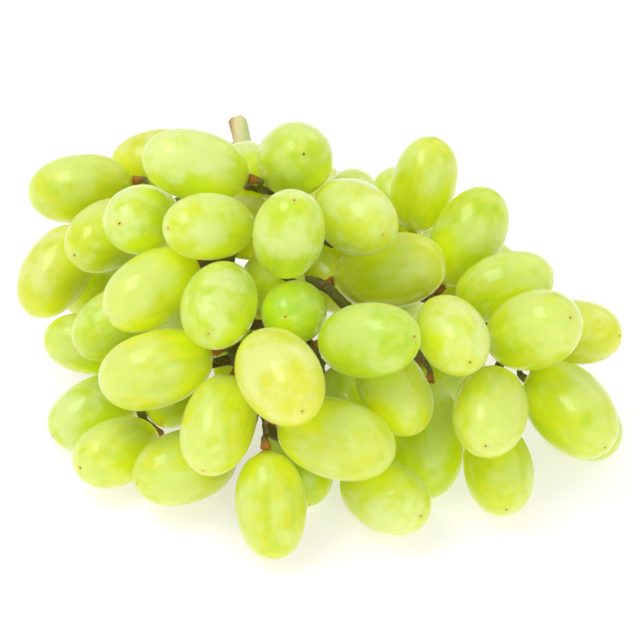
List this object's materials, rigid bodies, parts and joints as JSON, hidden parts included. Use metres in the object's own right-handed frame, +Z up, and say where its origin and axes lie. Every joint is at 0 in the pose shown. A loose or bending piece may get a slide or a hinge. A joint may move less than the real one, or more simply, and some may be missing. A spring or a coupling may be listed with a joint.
{
  "type": "bunch of table grapes",
  "caption": "Picked bunch of long pale green seedless table grapes on a branched stalk, lying on its side with the cut stem pointing up at the back.",
  "frame": {"origin": "on the table under the middle of the bunch's bounding box", "axes": "+X to the viewer's right across the bunch, +Y away from the viewer towards the cut stem's side, +Z up"},
  "size_m": [0.1614, 0.1344, 0.0811],
  "materials": {
    "green_skin": "satin, translucent yellow-green grape skin",
    "pale_skin": "satin, paler grape skin with a milky bloom",
    "yellow_skin": "satin, riper and yellower grape skin",
    "stalk": "dry green and tan stem with brown patches"
  },
  "bodies": {
    "root": {"stalk": "stalk", "rachis_berry_1": "pale_skin", "rachis_berry_2": "yellow_skin", "rachis_berry_3": "green_skin", "rachis_berry_4": "green_skin", "rachis_berry_5": "yellow_skin", "rachis_berry_6": "green_skin", "rachis_berry_7": "green_skin", "left_shoulder_berry_1": "green_skin", "left_shoulder_berry_2": "yellow_skin", "left_shoulder_berry_3": "pale_skin", "left_shoulder_berry_4": "yellow_skin", "left_shoulder_berry_5": "green_skin", "left_shoulder_berry_6": "pale_skin", "left_arm_berry_1": "pale_skin", "left_arm_berry_2": "green_skin", "left_arm_berry_3": "green_skin", "left_arm_berry_4": "green_skin", "left_arm_berry_5": "green_skin", "left_arm_berry_6": "pale_skin", "left_foot_berry_1": "green_skin", "left_foot_berry_2": "pale_skin", "left_foot_berry_3": "green_skin", "left_foot_berry_4": "green_skin", "left_foot_berry_5": "green_skin", "left_foot_berry_6": "green_skin", "crown_berry_1": "green_skin", "crown_berry_2": "pale_skin", "crown_berry_3": "pale_skin", "crown_berry_4": "pale_skin", "crown_berry_5": "pale_skin", "crown_berry_6": "green_skin", "crown_berry_7": "green_skin", "right_wing_berry_1": "green_skin", "right_wing_berry_2": "green_skin", "right_wing_berry_3": "green_skin", "right_wing_berry_4": "green_skin", "right_wing_berry_5": "yellow_skin", "right_wing_berry_6": "green_skin", "right_wing_berry_7": "green_skin", "right_wing_berry_8": "green_skin", "right_foot_berry_1": "pale_skin", "right_foot_berry_2": "green_skin", "right_foot_berry_3": "green_skin", "right_foot_berry_4": "green_skin", "right_foot_berry_5": "green_skin", "right_foot_berry_6": "green_skin", "right_foot_berry_7": "green_skin", "right_foot_berry_8": "green_skin", "right_foot_berry_9": "pale_skin", "back_left_berry_1": "green_skin", "back_left_berry_2": "green_skin", "back_left_berry_3": "green_skin", "back_left_berry_4": "green_skin", "back_right_berry_1": "green_skin", "back_right_berry_2": "green_skin", "back_right_berry_3": "green_skin", "back_right_berry_4": "green_skin", "back_right_berry_5": "green_skin", "back_right_berry_6": "green_skin"}
  },
  "joints": []
}
